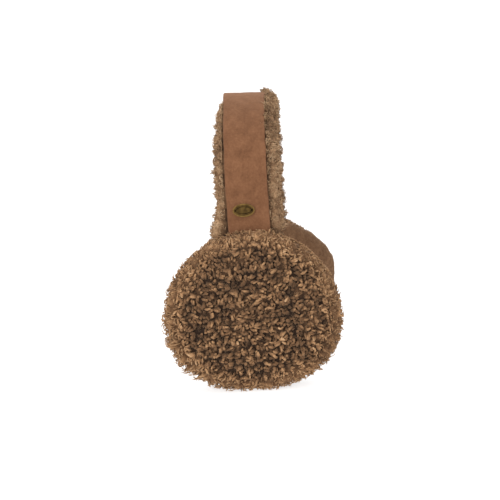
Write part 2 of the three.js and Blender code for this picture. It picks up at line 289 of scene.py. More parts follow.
def floor_finish():
    """White that glows a little, so that the floor meets the white room without an edge."""
    finish = Finish(
        "white_floor",
        Roughness=0.9,
        Specular_IOR_Level=0.1,
        Emission_Color=(1, 1, 1, 1),
        Emission_Strength=0.72,
    )
    place = finish.place()
    cloud = finish.noise(place, 3, detail=1.0)
    darker, lighter = (0.49, 0.49, 0.49, 1), (0.51, 0.51, 0.51, 1)
    finish.feed("Base Color", finish.ramp(cloud, (0.0, darker), (1.0, lighter)))
    return finish.material


COVER_WOOL = wool_finish(
    "curly_wool",
    root=(30, 19, 12),
    middle=(122, 89, 61),
    tip=(180, 138, 98),
    pale_tip=(210, 172, 132),
)
BAND_WOOL = wool_finish(
    "curly_wool_of_band",
    root=(40, 26, 17),
    middle=(124, 94, 67),
    tip=(186, 150, 114),
    pale_tip=(212, 180, 145),
)
PLUSH = plush_finish()
SUEDE = suede_finish()
BRASS_RIM = brass_finish("aged_brass_rim", (112, 88, 50), (72, 55, 30), 0.46, 0.45)
BRASS_FIELD = brass_finish("aged_brass_field", (88, 69, 38), (56, 43, 24), 0.52, 0.42)
BRASS_RECESS = brass_finish("aged_brass_recess", (58, 45, 26), (34, 26, 15), 0.7, 0.4)
FLOOR = floor_finish()


# ---- shapes of the solids

# Turns run from past the seam (-1) through the widest place (0) to the middle of the face (1)
PAD_SEAM_TURN = -0.78
PAD_MIDDLE_TURN = 0.9995
RIM_TURN = 0.34


def signed_power(values, exponent):
    return np.sign(values) * np.abs(values) ** exponent


def cover_profile(turn):
    """Share of the outline and distance from the seam."""
    angle = np.abs(turn) * math.pi / 2
    back = turn < 0
    exponent = np.where(back, 2 / SEAM_ROUNDNESS, 2 / COVER_ROUNDNESS)
    depth = np.where(back, -2 * COVER_WIDEST_AT, WOOL_THICKNESS - COVER_WIDEST_AT)
    share = np.clip(np.cos(angle), 0, 1) ** exponent
    return share, COVER_WIDEST_AT + depth * np.sin(angle) ** exponent


def cover_points(angle, turn):
    """Points of a pad's wool body in the pad's own frame, where x leaves the head."""
    share, out = cover_profile(turn)
    across = signed_power(np.cos(angle), 2 / PAD_SQUARENESS)
    up = signed_power(np.sin(angle), 2 / PAD_SQUARENESS)
    y = WOOL_HALF_WIDTH * share * across * (1 - PAD_TAPER * up)
    return np.stack([out, y, WOOL_HALF_HEIGHT * share * up], axis=-1)


def unit(vectors):
    return vectors / np.maximum(np.linalg.norm(vectors, axis=-1, keepdims=True), 1e-9)


def cover_normals(angle, turn):
    step = 0.004
    along = cover_points(angle + step, turn) - cover_points(angle - step, turn)
    ahead = np.minimum(turn + step, PAD_MIDDLE_TURN)
    behind = np.minimum(turn, 0.995) - step  # never on the face's middle, where all angles meet
    inward = cover_points(angle, ahead) - cover_points(angle, behind)
    return unit(np.cross(along, inward))


LEG_STEPS = 1600


def arch_table():
    """Points of the headband's outer line, from the wearer's left to the right: a leg, half an
    ellipse and the other leg."""
    end = np.array([BAND_END_AT, PAD_MIDDLE + LEG_END_RISE])
    widest = np.array([ARCH_HALF_WIDTH, PAD_MIDDLE + ARCH_WIDEST_RISE])
    bend = np.array([ARCH_HALF_WIDTH, (widest[1] + end[1]) / 2])
    t = np.linspace(0, 1, LEG_STEPS)[:, None]
    leg = (1 - t) ** 2 * end + 2 * t * (1 - t) * bend + t**2 * widest
    turn = np.linspace(0, math.pi, 2 * LEG_STEPS)
    rise = ARCH_RISE - ARCH_WIDEST_RISE
    top = np.stack([ARCH_HALF_WIDTH * np.cos(turn), widest[1] + rise * np.sin(turn)], axis=-1)
    far_leg = leg[::-1] * [-1, 1]
    return np.concatenate([leg[:-1], top[:-1], far_leg])


ARCH = arch_table()
ARCH_ALONG = np.concatenate([[0], np.cumsum(np.linalg.norm(np.diff(ARCH, axis=0), axis=1))])
BAND_LENGTH = ARCH_ALONG[-1]
LEG = ARCH[:LEG_STEPS]


def arch_line(along):
    """The x and z of the headband's outer line at these distances along it."""
    return np.stack([np.interp(along, ARCH_ALONG, ARCH[:, axis]) for axis in (0, 1)], axis=-1)


def on_arch(along, across, lift):
    """Points beside the headband's outer line: across runs along Y, lift leaves the head."""
    along, across, lift = np.broadcast_arrays(along, across, lift)
    line = arch_line(along)
    step = 0.5
    ahead, behind = np.clip(along + step, 0, BAND_LENGTH), np.clip(along - step, 0, BAND_LENGTH)
    going = unit(arch_line(ahead) - arch_line(behind))
    x, z = line[..., 0] + going[..., 1] * lift, line[..., 1] - going[..., 0] * lift
    return np.stack([x, across, z], axis=-1)


def arch_outward(along):
    """Directions away from the head."""
    return unit(on_arch(along, 0.0, 1.0) - on_arch(along, 0.0, 0.0))


def leg_face(z):
    """The x of the left leg's outer line at these heights."""
    return np.interp(z, LEG[:, 1], LEG[:, 0])


def near_crown(along, reach):
    """1 at the crown, falling to 0 beyond reach on both sides."""
    return np.exp(-(((along - BAND_LENGTH / 2) / reach) ** 2))


# ---- making meshes


def add_object(name, data):
    made = bpy.data.objects.new(name, data)
    bpy.context.scene.collection.objects.link(made)
    return made


def select_only(piece):
    bpy.ops.object.select_all(action="DESELECT")
    piece.select_set(True)
    bpy.context.view_layer.objects.active = piece


def get_points(mesh):
    points = np.empty(len(mesh.vertices) * 3)
    mesh.vertices.foreach_get("co", points)
    return points.reshape(-1, 3)


def set_points(mesh, points):
    mesh.vertices.foreach_set("co", np.ascontiguousarray(points, dtype=np.float32).ravel())
    mesh.update()


class Editing:
    """Edit mode while a with block lasts, with the whole mesh selected unless told otherwise."""

    def __init__(self, select_all=True):
        self.select_all = select_all

    def __enter__(self):
        bpy.ops.object.mode_set(mode="EDIT")
        if self.select_all:
            bpy.ops.mesh.select_all(action="SELECT")

    def __exit__(self, *failure):
        bpy.ops.object.mode_set(mode="OBJECT")


def apply_modifier(piece, kind, **settings):
    select_only(piece)
    bpy.ops.object.modifier_add(type=kind)
    modifier = piece.modifiers[-1]
    for key, value in settings.items():
        setattr(modifier, key, value)
    bpy.ops.object.modifier_apply(modifier=modifier.name)


def turn_outward(piece):
    """Turn all faces outward and shade them smooth."""
    with Editing():
        bpy.ops.mesh.normals_make_consistent(inside=False)
    bpy.ops.object.shade_smooth()


def sheet(name, x_steps, y_steps):
    """A flat grid with sides of length 1, to be bent into shape."""
    bpy.ops.mesh.primitive_grid_add(x_subdivisions=x_steps, y_subdivisions=y_steps, size=1.0)
    piece = bpy.context.object
    piece.name = name
    return piece


def write_locks(mesh, shape, along, shade, softness_and_sheen):
    """What the wool's material reads at each point: how far up its lock it lies, from 0 to 1,
    the lock's shade, and how soft the wool is there, which the material also paints paler as
    sheen."""
    colours = np.ones((*shape, 4), dtype=np.float32)
    colours[..., 0] = along
    colours[..., 1] = shade
    colours[..., 2] = softness_and_sheen
    mesh.attributes.new("lock", "FLOAT_COLOR", "POINT").data.foreach_set("color", colours.ravel())


def dress(piece, material):
    piece.data.materials.clear()
    piece.data.materials.append(material)
    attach(piece, "root")


def side_directions(normals, spin):
    """Two directions across each normal, turned by spin."""
    helper = np.where(np.abs(normals[:, 2:3]) < 0.9, [[0.0, 0.0, 1.0]], [[0.0, 1.0, 0.0]])
    first = unit(np.cross(helper, normals))
    second = np.cross(normals, first)
    cos, sin = np.cos(spin)[:, None], np.sin(spin)[:, None]
    return first * cos + second * sin, second * cos - first * sin


def tube_faces(count, rings, sides):
    """Quads and end caps for count closed tubes of the same build."""
    ring = np.arange(rings - 1)[:, None]
    side = np.arange(sides)[None, :]
    a = ring * sides + side
    b = ring * sides + (side + 1) % sides
    quads = np.stack([a, b, b + sides, a + sides], axis=-1).reshape(-1, 4)
    caps = np.stack([np.arange(sides)[::-1], np.arange(sides) + (rings - 1) * sides])
    start = (np.arange(count) * rings * sides)[:, None, None]
    return (quads[None] + start).reshape(-1, 4), (caps[None] + start).reshape(-1, sides)


def tube_piece(name, points, shape, along, shade, softness_and_sheen, material):
    """One piece of many closed tubes: points are in millimetres, shape is count, rings, sides."""
    quads, caps = tube_faces(*shape)
    loops = np.concatenate([quads.ravel(), caps.ravel()]).astype(np.int32)
    sizes = np.repeat([4, caps.shape[1]], [len(quads), len(caps)]).astype(np.int32)
    mesh = bpy.data.meshes.new(name)
    mesh.vertices.add(len(points))
    set_points(mesh, points * MM)
    mesh.loops.add(len(loops))
    mesh.loops.foreach_set("vertex_index", loops)
    mesh.polygons.add(len(sizes))
    mesh.polygons.foreach_set("loop_start", np.concatenate([[0], np.cumsum(sizes)[:-1]]))
    mesh.polygons.foreach_set("loop_total", sizes)
    write_locks(mesh, shape, along[..., None], shade[:, None, None], softness_and_sheen[:, None, None])
    mesh.update(calc_edges=True)
    mesh.validate()
    mesh.shade_smooth()
    dress(add_object(name, mesh), material)


# Keeps the direction that a tube's section starts from off the tube's own line
OFF_LINE = 0.31


def tubes(centres, radii, sides, twist, lobes):
    """Points round centre lines [count, rings, 3]. A lobed section turns by twist on its way."""
    tangent = unit(np.gradient(centres, axis=1))
    reference = unit(centres[:, -1:] - centres[:, :1]) + OFF_LINE
    across = unit(np.cross(tangent, unit(reference)))
    other = np.cross(tangent, across)
    rings = centres.shape[1]
    turned = twist[:, None, None] * np.linspace(0, 1, rings)[None, :, None]
    angle = np.arange(sides)[None, None, :] / sides * 2 * math.pi + turned
    reach = radii[:, :, None] * (1 + lobes * np.cos(2 * (angle - turned)))
    points = (
        centres[:, :, None]
        + across[:, :, None] * (np.cos(angle) * reach)[..., None]
        + other[:, :, None] * (np.sin(angle) * reach)[..., None]
    )
    return points.reshape(-1, 3)


PARTING_STEEPNESS = 1.6


def tufts_of(roots, centres):
    """For each lock the tuft that it belongs to, and how far inside the tuft it grows: 0 on the
    parting to the next tuft, 1 in the middle."""
    apart = np.linalg.norm(roots[:, None] - centres[None], axis=2)
    order = np.argpartition(apart, 1, axis=1)[:, :2]
    two = np.sort(np.take_along_axis(apart, order, axis=1), axis=1)
    inside = (two[:, 1] - two[:, 0]) / (two[:, 1] + two[:, 0])
    return np.argmin(apart, axis=1), np.clip(PARTING_STEEPNESS * inside, 0, 1)


ROOT_SINK = 0.9
LARGEST_STAND = 2.5


def lock_lines(roots, normals, spin, height, hook, tips, pull, stand, rings, reach_out=2.1):
    """Middle lines of locks: each rises, hooks over to the side of its spin and is drawn to its
    tuft's tip. With stand, those that curl up short of their height stand out further."""
    count = len(roots)
    forward, aside = side_directions(normals, spin)
    share = np.linspace(0, 1, rings)[None, :]
    bend = hook[:, None] * share**1.25
    length = reach_out * height / np.maximum(1.2, hook**0.75)
    step = (length / (rings - 1))[:, None]
    start = np.zeros((count, 1))
    rise = np.cumsum(np.concatenate([start, np.cos(bend)[:, 1:]], axis=1), axis=1) * step
    reach = np.cumsum(np.concatenate([start, np.sin(bend)[:, 1:]], axis=1), axis=1) * step
    drift = rng.uniform(-0.5, 0.5, count)[:, None] * share
    lines = (
        roots[:, None]
        + normals[:, None] * (rise - ROOT_SINK)[..., None]
        + forward[:, None] * (reach - 0.35 * reach[:, -1:])[..., None]
        + aside[:, None] * (drift * height[:, None])[..., None]
    )
    drawn = tips - lines[:, -1]
    lines = lines + drawn[:, None] * (pull[:, None] * share**1.4)[..., None]
    top = np.max(np.sum((lines - roots[:, None]) * normals[:, None], axis=2), axis=1)
    lack = (stand * np.clip(height - top, 0, LARGEST_STAND))[:, None] * np.clip(share * 3, 0, 1)
    return lines + normals[:, None] * lack[..., None]


# A lock's thickness, as a share of its largest, along it
LOCK_TAPER_AT = [0, 0.25, 0.75, 1]
LOCK_TAPER = [0.75, 1.0, 0.95, 0.55]
LOCK_LUMPS = 0.18
LOCK_LOBES = 0.22


def locks(name, lines, roots, normals, height, thickness, sides, shade, softness_and_sheen, material):
    """Locks of wool round their middle lines, thick in the middle and tapered to their tips."""
    count, rings = lines.shape[:2]
    share = np.linspace(0, 1, rings)
    taper = np.interp(share, LOCK_TAPER_AT, LOCK_TAPER)
    lumps = 1 + rng.uniform(-LOCK_LUMPS, LOCK_LUMPS, (count, rings))
    radii = thickness[:, None] / 2 * taper[None] * lumps
    points = tubes(lines, radii, sides, rng.uniform(1.5, 4.0, count), LOCK_LOBES)
    points[:, 2] = np.maximum(points[:, 2], LOCK_FLOOR + 0.15 * rng.random(len(points)))
    risen = np.sum((lines - roots[:, None]) * normals[:, None], axis=2) / height[:, None]
    along = np.clip(0.2 * share[None] + 0.8 * risen, 0, 1)
    shape = (count, rings, sides)
    tube_piece(name, points, shape, along, shade, softness_and_sheen, material)


FIBRE_RINGS = 3
FIBRE_SIDES = 3
FIBRE_TAPER = np.array([1.0, 0.8, 0.3])


def fibres(name, roots, directions, length, thickness, softness_and_sheen, material):
    """Fine fibres that stand out of the pile and bend a little, with their length and thickness
    between two limits."""
    count = len(roots)
    length, thickness = rng.uniform(*length, count), rng.uniform(*thickness, count)
    forward, _ = side_directions(directions, rng.uniform(0, 2 * math.pi, count))
    share = np.linspace(0, 1, FIBRE_RINGS)[None, :]
    wave = rng.uniform(0.1, 0.6, count)[:, None] * share**2
    centres = (
        roots[:, None]
        + directions[:, None] * (share * length[:, None])[..., None]
        + forward[:, None] * (wave * length[:, None])[..., None]
    )
    radii = thickness[:, None] / 2 * FIBRE_TAPER[None]
    points = tubes(centres, radii, FIBRE_SIDES, np.zeros(count), 0.0)
    points[:, 2] = np.maximum(points[:, 2], LOCK_FLOOR + 0.1 * rng.random(len(points)))
    along, shade = 0.6 + 0.3 * share, rng.random(count)
    shape = (count, FIBRE_RINGS, FIBRE_SIDES)
    tube_piece(name, points, shape, along, shade, softness_and_sheen, material)


def fuzz(name, lines, normals, chance, count, spread, length, thickness, softness_and_sheen, material):
    """Fine fibres that grow from the locks themselves."""
    pick = rng.choice(len(lines), count, p=chance / chance.sum())
    at = rng.uniform(0.35, 0.98, count) * (lines.shape[1] - 1)
    low = at.astype(int)
    part = (at - low)[:, None]
    roots = lines[pick, low] * (1 - part) + lines[pick, low + 1] * part
    directions = unit(normals[pick] + rng.normal(0, spread, (count, 3)))
    fibres(name, roots, directions, length, thickness, softness_and_sheen[pick], material)


# ---- the pads' wool

SIDES = {"left": 1, "right": -1}
TUFTS_PER_PAD = 900
CLUMPS_PER_PAD = 260
# The fields of a pad's wool: the locks in each, the turns that it spans and the locks' facets
WOOL_FIELDS = {
    "curls": dict(count=1850, first_turn=RIM_TURN, last_turn=PAD_MIDDLE_TURN, rings=6, sides=5),
    "rim": dict(count=4200, first_turn=PAD_SEAM_TURN, last_turn=RIM_TURN + 0.06, rings=4, sides=3),
}

# Where the tight curls start to soften towards the rim, and over how much of a turn; the same
# stretch is painted paler as sheen
SOFT_FROM_TURN = 0.46
SOFTENING = 0.22

# How much fuller the rim's wool is than the face's, and where round the pad, in radians from
# +Y over the top, it departs from that, how widely and by how much
RIM_FULLNESS = 0.08
FULL_SIDE = {"at": 3.65, "spread": 0.55, "fuller": 0.85}
FLAT_SIDE = {"at": 2.1, "spread": 0.12, "fuller": -0.5}
PRESSED_SIDE = {"at": 0.85, "spread": 0.3, "fuller": -0.4}

# How far the pad's wool may reach under the headband's edges and under its end
WOOL_UNDER_EDGE = 1.5
WOOL_UNDER_END = 2.0


def to_part(points, sign):
    """From a pad's own frame to the part's."""
    moved = points + [SEAM_AT, 0, PAD_MIDDLE]
    moved[..., 0] *= sign
    return moved


def even_cover(count, first_turn=PAD_SEAM_TURN, last_turn=PAD_MIDDLE_TURN):
    """Angles and turns spread evenly over a pad's wool."""
    turns = np.linspace(first_turn, last_turn, 3000)
    share, out = cover_profile(turns)
    radius = share * (WOOL_HALF_WIDTH + WOOL_HALF_HEIGHT) / 2
    strip = np.hypot(np.diff(radius), np.diff(out)) * (radius[1:] + radius[:-1]) / 2
    area = np.concatenate([[0], np.cumsum(strip)])
    pick = (np.arange(count) + rng.uniform(0.1, 0.9, count)) / count * area[-1]
    golden = math.pi * (3 - math.sqrt(5))
    angle = np.arange(count) * golden + rng.normal(0, 0.012, count)
    return angle, np.interp(pick, area, turns)


def clear_of_band(points, margin=0.6):
    """Which points of the pad's frame lie outside the headband that enters the pad."""
    part = to_part(points, 1)
    beside = np.abs(part[:, 1]) > WOOL_STRIP_HALF_WIDTH - WOOL_UNDER_EDGE
    below = part[:, 2] < PAD_MIDDLE + LEG_END_RISE - WOOL_UNDER_END
    return beside | below | (part[:, 0] > leg_face(part[:, 2]) + margin)


def softness_at(turn):
    """0 on the face's tight curls, 1 on the soft wool of the rim, which the wool's material also
    paints paler as sheen.
    """
    return np.clip((SOFT_FROM_TURN - turn) / SOFTENING, 0, 1)


def side_fullness(angle, turn):
    """How much longer or shorter the rim's wool is, round the pad, than the face's."""
    around = angle % (2 * math.pi)
    towards_back = np.clip((0.3 - turn) / 0.3, 0, 1)
    fuller = RIM_FULLNESS
    for side, share in ((FULL_SIDE, 1), (FLAT_SIDE, 1), (PRESSED_SIDE, towards_back)):
        here = np.exp(-((around - side["at"]) ** 2) / side["spread"])
        fuller = fuller + side["fuller"] * (here * share)
    return 1 + fuller * softness_at(turn)


class PadTufts:
    """The tufts of one pad, and the larger clumps that they stand in."""

    def __init__(self):
        angle, turn = even_cover(TUFTS_PER_PAD)
        self.roots = cover_points(angle, turn) + rng.normal(0, 1.0, (TUFTS_PER_PAD, 3))
        self.normals = cover_normals(angle, turn)
        self.spin = rng.uniform(0, 2 * math.pi, TUFTS_PER_PAD)
        self.fall, _ = side_directions(self.normals, self.spin)
        self.height = rng.uniform(0.7, 1.1, TUFTS_PER_PAD)
        clumps = cover_points(*even_cover(CLUMPS_PER_PAD))
        self.clumps = clumps + rng.normal(0, 1.3, (CLUMPS_PER_PAD, 3))
        self.shade = 0.6 * rng.random(TUFTS_PER_PAD)
        self.clump_shade = 0.4 * rng.random(CLUMPS_PER_PAD)

    def at(self, points):
        """Each point's tuft, how far inside it and its clump the point lies, and its shade."""
        tuft, inside = tufts_of(points, self.roots)
        clump, parting = tufts_of(points, self.clumps)
        return tuft, inside, parting, self.shade[tuft] + self.clump_shade[clump]


def cover_locks(side, sign, tufts, part, count, first_turn, last_turn, rings, sides):
    """Locks between two turns of a pad's wool: tight curls in tufts on the face, finer, softer
    and paler ones towards the rim, short ones at the seam. The rim's paleness is painted sheen."""
    angle, turn = even_cover(count, first_turn, last_turn)
    angle = angle + rng.normal(0, 0.02, count)
    turn = np.clip(turn + rng.normal(0, 0.008, count), first_turn, last_turn)
    roots = cover_points(angle, turn)
    keep = clear_of_band(roots)
    angle, turn, roots = angle[keep], turn[keep], roots[keep]
    normals = cover_normals(angle, turn)
    count = len(roots)
    tuft, inside, parting, shade = tufts.at(roots)

    soft = softness_at(turn)
    by_seam = np.clip(-turn / 0.5, 0, 1)
    full = rng.uniform(2.7, 3.4, count) * tufts.height[tuft] * side_fullness(angle, turn)
    full *= 1 - 0.3 * by_seam
    height = full * (0.66 + 0.2 * soft + 0.13 * inside + parting**0.6 * (0.38 - 0.28 * soft))
    thickness = rng.uniform(1.2, 2.1, count) * (1 - 0.55 * soft)
    hook = rng.uniform(1.8, 4.0, count) * (1 - 0.4 * soft)
    lean = unit(normals + rng.normal(0, 0.16, (count, 3)))
    tips = tufts.roots[tuft] + tufts.normals[tuft] * (height * (0.75 + 0.2 * soft))[:, None]
    tips += tufts.fall[tuft] * 1.2 + rng.normal(0, 0.5, (count, 3))
    pull = rng.uniform(0.15, 0.6, count) * (1 + 0.2 * soft)
    flip = np.array([sign, 1, 1])
    roots, normals, lean = to_part(roots, sign), normals * flip, lean * flip
    stand = 0.25 + 0.5 * soft
    spin = tufts.spin[tuft] + rng.normal(0, 0.6 + 0.6 * soft)
    tips = to_part(tips, sign)
    reach_out = 2.7 - 0.6 * soft
    lines = lock_lines(roots, lean, spin, height, hook, tips, pull, stand, rings, reach_out)
    lines[..., 0] = sign * np.maximum(sign * lines[..., 0], SEAM_AT + thickness[:, None] / 2)
    shade = 0.4 * rng.random(count) + 0.6 * shade
    name = f"{side}_cover_{part}"
    # Towards the rim these locks are also painted paler, as sheen
    locks(name, lines, roots, normals, full, thickness, sides, shade, soft, COVER_WOOL)
    chance, length, width = 0.3 + soft, (0.6, 1.4), (0.12, 0.22)
    fuzz(f"{name}_fuzz", lines, normals, chance, count, 0.6, length, width, soft, COVER_WOOL)


def cover_roots(side, sign, tufts):
    """The dense wool that the locks of a pad grow from, swollen where a tuft stands: dark root
    wool with painted shade in the partings and under the face's curls, and as pale as its locks at
    the rim, where the paleness is painted sheen."""
    bpy.ops.mesh.primitive_uv_sphere_add(segments=150, ring_count=84)
    piece = bpy.context.object
    piece.name = f"{side}_cover_roots"
    directions = unit(get_points(piece.data))
    turned = 1 - np.arccos(np.clip(directions[:, 2], -1, 1)) / (math.pi / 2)
    turned = np.clip(turned, -0.98, 0.999)
    around = np.arctan2(directions[:, 1], directions[:, 0])
    points = cover_points(around, turned)

    tuft, inside, parting, shade = tufts.at(points)
    soft = softness_at(turned)
    swelling = (0.6 + 2.0 * soft) * inside**0.6 * tufts.height[tuft]
    fullness = side_fullness(around, turned)
    swelling *= np.minimum(fullness, 1) ** 2.2 * np.maximum(fullness, 1) ** 1.1
    swelling *= 0.7 + 0.3 * parting
    swelling *= 1 - np.clip((-turned - 0.3) / 0.5, 0, 1)
    points += cover_normals(around, turned) * swelling[:, None]
    points[:, 0] = np.clip(points[:, 0] - 0.5, 0.4, None)

    part = to_part(points, 1)
    covered = ~clear_of_band(points, margin=0.3)
    outside_band = np.maximum(part[:, 0], leg_face(part[:, 2]) + 0.8)
    part[:, 0] = sign * np.where(covered, outside_band, part[:, 0])
    part[:, 2] = np.maximum(part[:, 2], 0.3)
    set_points(piece.data, part * MM)
    turn_outward(piece)
    # Painted shade and sheen: darkest in the partings and under the face's curls, paler towards
    # the rim
    along = 0.03 + (0.2 + 0.45 * soft) * inside
    write_locks(piece.data, along.shape, along, 0.2 + 0.6 * shade, soft)
    dress(piece, COVER_WOOL)
    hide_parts(f"{side}_pad_wool_cover")


for side_name, side_sign in SIDES.items():
    pad = PadTufts()
    for part_name, field in WOOL_FIELDS.items():
        cover_locks(side_name, side_sign, pad, part_name, **field)
    cover_roots(side_name, side_sign, pad)


# ---- the plush cushions

CUSHION_VOXEL = 4.0 * MM
CUSHION_SWELL_CAP = 2.5 * MM
CUSHION_PRESSURE = 4
CLOTH_FRAMES = 20
CUSHION_MIDDLE_AT = 60.0
CUSHION_FACE_AT = 51.8
# The cushion's size before it swells, as shares of the solid's along x, y and z
CUSHION_START = [0.95, 1.05, 1.06]
# How much fuller a cushion is at one place of its rim, in radians from +Y over the top
CUSHION_BULGE = {"left": 0.03, "right": 0.12}
BULGE_AT = 0.38
BULGE_SPREAD = 0.3

PILE_PER_CUSHION = 2200
PILE_HALF_WIDTH = 54
PILE_HALF_HEIGHT = 50


def swell(piece):
    """Remesh the piece and let cloth under pressure fill it out, with its swelling capped."""
    apply_modifier(piece, "REMESH", mode="VOXEL", voxel_size=CUSHION_VOXEL)
    with Editing():
        bpy.ops.mesh.vertices_smooth(factor=0.5, repeat=6)
    before = get_points(piece.data)
    bpy.ops.object.modifier_add(type="CLOTH")
    cloth = piece.modifiers[-1]
    cloth.settings.use_pressure = True
    cloth.settings.uniform_pressure_force = CUSHION_PRESSURE
    cloth.settings.effector_weights.gravity = 0
    for number in range(1, CLOTH_FRAMES + 1):
        bpy.context.scene.frame_set(number)
    bpy.ops.object.modifier_apply(modifier=cloth.name)
    moved = get_points(piece.data) - before
    distance = np.linalg.norm(moved, axis=1, keepdims=True)
    moved *= np.minimum(1, CUSHION_SWELL_CAP / np.maximum(distance, 1e-9))
    set_points(piece.data, before + moved)
    bpy.context.scene.frame_set(1)


def cushion(side, sign):
    """A plush cushion, grown from its plain solid."""
    node = bpy.data.objects[f"{side}_pad_plush_cushion"]
    piece = node.copy()
    piece.data = node.data.copy()
    for key in list(piece.keys()):
        del piece[key]
    piece.name = f"{side}_cushion"
    bpy.context.scene.collection.objects.link(piece)
    piece.hide_render = piece.hide_viewport = False
    select_only(piece)
    with Editing():
        bpy.ops.mesh.remove_doubles(threshold=1e-5)
    middle = np.array([sign * CUSHION_MIDDLE_AT, 0, PAD_MIDDLE]) * MM
    points = get_points(piece.data)
    set_points(piece.data, middle + (points - middle) * CUSHION_START)
    swell(piece)
    apply_modifier(piece, "SUBSURF", levels=1, render_levels=1)
    with Editing():
        bpy.ops.mesh.vertices_smooth(factor=0.5, repeat=14)
    points = get_points(piece.data)
    beside, above = points[:, 1], points[:, 2] - middle[2]
    at_bulge = np.exp(-((np.arctan2(above, beside) - BULGE_AT) ** 2) / BULGE_SPREAD)
    fuller = 1 + CUSHION_BULGE[side] * at_bulge
    points[:, 1], points[:, 2] = beside * fuller, middle[2] + above * fuller
    inner, outer = CUSHION_FACE_AT * MM, (SEAM_AT - SEAM_GAP) * MM
    points[:, 0] = sign * np.clip(points[:, 0] * sign, inner, outer)
    points[:, 2] = np.maximum(points[:, 2], LOCK_FLOOR * MM)
    set_points(piece.data, points)
    bpy.ops.object.shade_smooth()
    dress(piece, PLUSH)
    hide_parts(node.name)
    return piece


def plush_pile(side, cushion_piece):
    """Short pile that softens the cushion's outline."""
    mesh = cushion_piece.data
    points = get_points(mesh) / MM
    normals = np.empty(len(mesh.vertices) * 3)
    mesh.vertices.foreach_get("normal", normals)
    normals = normals.reshape(-1, 3)
    above = points[:, 2] - PAD_MIDDLE
    rim = np.hypot(points[:, 1] / PILE_HALF_WIDTH, above / PILE_HALF_HEIGHT)
    chance = np.clip((rim - 0.55) * 3, 0.25, 1)
    towards_cover = np.sign(points[:, 0]) == np.sign(normals[:, 0])
    chance[np.abs(normals[:, 0]) * towards_cover > 0.8] = 0
    pick = rng.choice(len(points), PILE_PER_CUSHION, p=chance / chance.sum())
    jitter = rng.normal(0, 0.9, (len(pick), 3))
    jitter -= normals[pick] * np.sum(jitter * normals[pick], axis=1, keepdims=True)
    direction = unit(normals[pick] + rng.normal(0, 0.35, (len(pick), 3)))
    roots, soft = points[pick] + jitter - normals[pick] * 0.3, np.ones(len(pick))
    length, width = (0.7, 1.3), (0.14, 0.24)
    name = f"{side}_cushion_pile"
    fibres(name, roots, direction, length, width, soft, PLUSH_PILE)


PLUSH_PILE = wool_finish(
    "plush_pile_tips",
    root=(78, 54, 37),
    middle=(104, 76, 54),
    tip=(138, 106, 80),
    pale_tip=(164, 132, 104),
)

for side_name, side_sign in SIDES.items():
    plush_pile(side_name, cushion(side_name, side_sign))


# ---- the headband


def suede_strip():
    """A flat folded strip with rolled edges, then bent along the arch."""
    piece = sheet("suede_strip", x_steps=200, y_steps=14)
    points = get_points(piece.data)
    along, across = (points[:, 0] + 0.5) * BAND_LENGTH, points[:, 1] * SUEDE_WIDTH
    set_points(piece.data, np.stack([along, across, np.zeros(len(points))], axis=-1))
    apply_modifier(piece, "SOLIDIFY", thickness=SUEDE_THICKNESS, offset=-1)
    apply_modifier(piece, "BEVEL", width=0.8, segments=4, angle_limit=math.radians(50))

    along, across, lift = get_points(piece.data).T
    edge = across / (SUEDE_WIDTH / 2)
    inward = 1 - edge**2
    upper = np.clip(lift / SUEDE_THICKNESS + 1, 0, 1)
    at_crown = near_crown(along, 55)
    lift = lift + SUEDE_CROWN * (inward + (1 - inward) * at_crown)
    lift -= 0.045 * across * at_crown
    dents = 0.08 * np.sin(along * 0.21 + 1.3) * np.cos(across * 0.35 + along * 0.05)
    dents += 0.05 * np.sin(along * 0.47 + across * 0.6)
    waver = 0.12 * np.sin(along * 0.16 + 0.7) + 0.08 * np.sin(along * 0.39)
    waver += (0.9 - 2.4 * at_crown**3) * np.clip(-edge, 0, 1)
    bent = on_arch(along, across + waver * np.abs(edge), lift + dents * upper)
    set_points(piece.data, bent * MM)
    turn_outward(piece)
    dress(piece, SUEDE)
    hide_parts("headband_suede_strip")


STRIP_MIDDLE_LIFT = -5.9
STRIP_HALF_DEPTH = 5.1
STRIP_SQUARENESS = 2.6
STRIP_TOP_LIFT = -SUEDE_THICKNESS - SEAM_GAP
FIRST_TURN = math.radians(51.5)
LAST_TURN = math.radians(-231.5)
CROWN_SAG = 4.2
# How wide the strip's pulled side is, as a share of the other, by the distance from the crown
PULLED_SIDE_AT = [0, 30, 50, 77, 105, 116, 134]
PULLED_SIDE_REACH = [0.76, 0.77, 0.82, 0.94, 0.95, 0.91, 1.18]


def strip_section(turn):
    """The wool strip's section, from the suede's edge round under it to its other edge."""
    y = WOOL_STRIP_HALF_WIDTH * signed_power(np.cos(turn), 2 / STRIP_SQUARENESS)
    depth = STRIP_HALF_DEPTH * signed_power(np.sin(turn), 2 / STRIP_SQUARENESS)
    return y, STRIP_MIDDLE_LIFT + depth


def crown_sag(along, y):
    """How far the wool hangs below the suede at the crown on one side, where the strip is
    pulled over."""
    on_side = np.clip(-y / WOOL_STRIP_HALF_WIDTH, 0, 1) ** 1.5
    return -CROWN_SAG * near_crown(along, 30) * on_side


def side_reach(along, y):
    """The strip's side that is pulled over: narrow at the crown, wide where it meets the pads."""
    from_crown = np.abs(along - BAND_LENGTH / 2)
    reach = np.interp(from_crown, PULLED_SIDE_AT, PULLED_SIDE_REACH)
    return np.where(y < 0, y * reach, y)


def strip_places(along, turn):
    """Root points and outward directions of the band's wool."""
    y, lift = strip_section(turn)
    ahead_y, ahead_lift = strip_section(turn + 0.01)
    behind_y, behind_lift = strip_section(turn - 0.01)
    slope = unit(np.stack([ahead_y - behind_y, ahead_lift - behind_lift], axis=-1))
    normals = arch_outward(along) * -slope[:, 0:1] + np.array([[0, 1.0, 0]]) * slope[:, 1:2]
    lift = np.minimum(lift, STRIP_TOP_LIFT)
    roots = on_arch(along, side_reach(along, y), lift + crown_sag(along, y))
    return roots, unit(normals)


